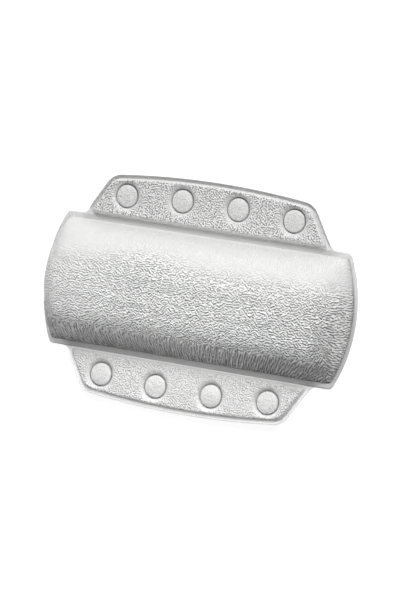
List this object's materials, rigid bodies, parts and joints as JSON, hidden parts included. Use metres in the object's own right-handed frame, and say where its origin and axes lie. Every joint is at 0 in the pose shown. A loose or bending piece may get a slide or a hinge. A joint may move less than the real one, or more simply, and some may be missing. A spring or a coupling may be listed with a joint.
{
  "type": "bath pillow",
  "caption": "Padded bath pillow: crowned foam bolster between two folding padded flaps, welded from soft vinyl, held to the tub by suction cups behind round welds.",
  "frame": {"origin": "on the plane of the suction cups' lips, under the middle of the bolster", "axes": "+X along the bolster, +Y from the bolster towards the upper flap, +Z out of the padded face"},
  "size_m": [0.35, 0.2372, 0.0496],
  "materials": {
    "front_vinyl": "satin",
    "back_vinyl": "satin",
    "foam": "matte",
    "clear_vinyl": "gloss"
  },
  "bodies": {
    "bolster": {"bolster_front_cover": "front_vinyl", "bolster_foam": "foam", "bolster_back_cover": "back_vinyl"},
    "upper_flap": {"upper_flap_front_cover": "front_vinyl", "upper_flap_foam": "foam", "upper_flap_back_cover": "back_vinyl", "upper_foam_disc_1": "foam", "upper_foam_disc_2": "foam", "upper_foam_disc_3": "foam", "upper_foam_disc_4": "foam"},
    "lower_flap": {"lower_flap_front_cover": "front_vinyl", "lower_flap_foam": "foam", "lower_flap_back_cover": "back_vinyl", "lower_foam_disc_1": "foam", "lower_foam_disc_2": "foam", "lower_foam_disc_3": "foam", "lower_foam_disc_4": "foam"},
    "upper_suction_cup_1": {"upper_suction_cup_1": "clear_vinyl"},
    "upper_suction_cup_2": {"upper_suction_cup_2": "clear_vinyl"},
    "upper_suction_cup_3": {"upper_suction_cup_3": "clear_vinyl"},
    "upper_suction_cup_4": {"upper_suction_cup_4": "clear_vinyl"},
    "lower_suction_cup_1": {"lower_suction_cup_1": "clear_vinyl"},
    "lower_suction_cup_2": {"lower_suction_cup_2": "clear_vinyl"},
    "lower_suction_cup_3": {"lower_suction_cup_3": "clear_vinyl"},
    "lower_suction_cup_4": {"lower_suction_cup_4": "clear_vinyl"}
  },
  "joints": [
    {"name": "upper_flap_fold", "type": "hinge", "parent": "bolster", "child": "upper_flap", "pos_m": [0, 0.069, 0.0116], "axis": [1, 0, 0], "range_deg": [-100, 85], "stiffness_Nm_per_rad": 0.05},
    {"name": "lower_flap_fold", "type": "hinge", "parent": "bolster", "child": "lower_flap", "pos_m": [0, -0.069, 0.0116], "axis": [-1, 0, 0], "range_deg": [-100, 85], "stiffness_Nm_per_rad": 0.05},
    {"name": "upper_suction_cup_1_turn", "type": "hinge", "parent": "upper_flap", "child": "upper_suction_cup_1", "pos_m": [-0.09405, 0.0923, 0], "axis": [0, 0, 1], "continuous": true},
    {"name": "upper_suction_cup_2_turn", "type": "hinge", "parent": "upper_flap", "child": "upper_suction_cup_2", "pos_m": [-0.03135, 0.09541, 0], "axis": [0, 0, 1], "continuous": true},
    {"name": "upper_suction_cup_3_turn", "type": "hinge", "parent": "upper_flap", "child": "upper_suction_cup_3", "pos_m": [0.03135, 0.09541, 0], "axis": [0, 0, 1], "continuous": true},
    {"name": "upper_suction_cup_4_turn", "type": "hinge", "parent": "upper_flap", "child": "upper_suction_cup_4", "pos_m": [0.09405, 0.0923, 0], "axis": [0, 0, 1], "continuous": true},
    {"name": "lower_suction_cup_1_turn", "type": "hinge", "parent": "lower_flap", "child": "lower_suction_cup_1", "pos_m": [0.09405, -0.0923, 0], "axis": [0, 0, 1], "continuous": true},
    {"name": "lower_suction_cup_2_turn", "type": "hinge", "parent": "lower_flap", "child": "lower_suction_cup_2", "pos_m": [0.03135, -0.09541, 0], "axis": [0, 0, 1], "continuous": true},
    {"name": "lower_suction_cup_3_turn", "type": "hinge", "parent": "lower_flap", "child": "lower_suction_cup_3", "pos_m": [-0.03135, -0.09541, 0], "axis": [0, 0, 1], "continuous": true},
    {"name": "lower_suction_cup_4_turn", "type": "hinge", "parent": "lower_flap", "child": "lower_suction_cup_4", "pos_m": [-0.09405, -0.0923, 0], "axis": [0, 0, 1], "continuous": true}
  ]
}
